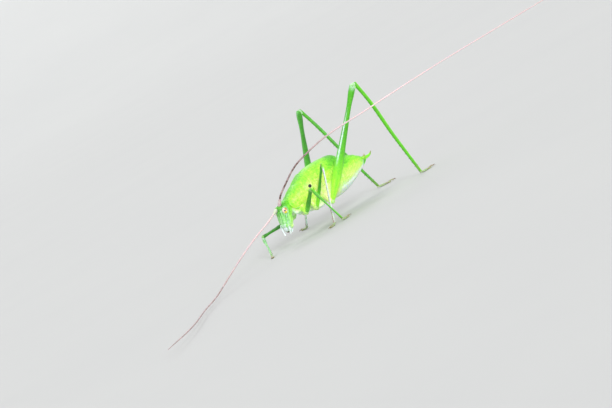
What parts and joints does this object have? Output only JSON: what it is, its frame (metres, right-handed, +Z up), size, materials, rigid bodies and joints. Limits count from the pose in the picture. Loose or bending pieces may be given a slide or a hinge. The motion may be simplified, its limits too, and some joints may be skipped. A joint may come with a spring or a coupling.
{
  "type": "long horned grasshopper nymph",
  "caption": "Life-size still model of a young green katydid standing on its feet, with threadlike feelers far longer than the body.",
  "frame": {"origin": "middle of the footprint at floor level, under the insect", "axes": "the head points along -X, the insect's left side faces -Y, +Z is up"},
  "size_m": [0.0976, 0.044, 0.016],
  "materials": {
    "body_green": "bright lime green shell, satin, yellower on the sides and deeper along the back",
    "leaf_green": "leaf green shell of legs and wing pads, satin",
    "pale_mouth": "pale green-white mouthparts, satin",
    "feeler": "pinkish beige finely ringed feelers",
    "eye_cream": "glossy cream compound eye with a reddish dark centre"
  },
  "bodies": {
    "root": {"head": "body_green", "mouthparts": "pale_mouth", "eye_left": "eye_cream", "eye_right": "eye_cream", "palp_left": "pale_mouth", "palp_right": "pale_mouth", "pronotum": "body_green", "thorax": "body_green", "wing_pad_fore_left": "leaf_green", "wing_pad_hind_left": "leaf_green", "wing_pad_fore_right": "leaf_green", "wing_pad_hind_right": "leaf_green", "abdomen": "body_green", "ovipositor": "leaf_green", "cercus_left": "leaf_green", "cercus_right": "leaf_green", "antenna_left_base": "feeler", "antenna_left_1": "feeler", "antenna_left_2": "feeler", "antenna_left_3": "feeler", "antenna_right_base": "feeler", "antenna_right_1": "feeler", "antenna_right_2": "feeler", "antenna_right_3": "feeler", "coxa_fore_left": "body_green", "femur_fore_left": "leaf_green", "tibia_fore_left": "leaf_green", "tarsus_fore_left": "leaf_green", "coxa_fore_right": "body_green", "femur_fore_right": "leaf_green", "tibia_fore_right": "leaf_green", "tarsus_fore_right": "leaf_green", "coxa_mid_left": "body_green", "femur_mid_left": "leaf_green", "tibia_mid_left": "leaf_green", "tarsus_mid_left": "leaf_green", "coxa_mid_right": "body_green", "femur_mid_right": "leaf_green", "tibia_mid_right": "leaf_green", "tarsus_mid_right": "leaf_green", "coxa_hind_left": "body_green", "femur_hind_left": "leaf_green", "tibia_hind_left": "leaf_green", "tarsus_hind_left": "leaf_green", "coxa_hind_right": "body_green", "femur_hind_right": "leaf_green", "tibia_hind_right": "leaf_green", "tarsus_hind_right": "leaf_green"}
  },
  "joints": []
}
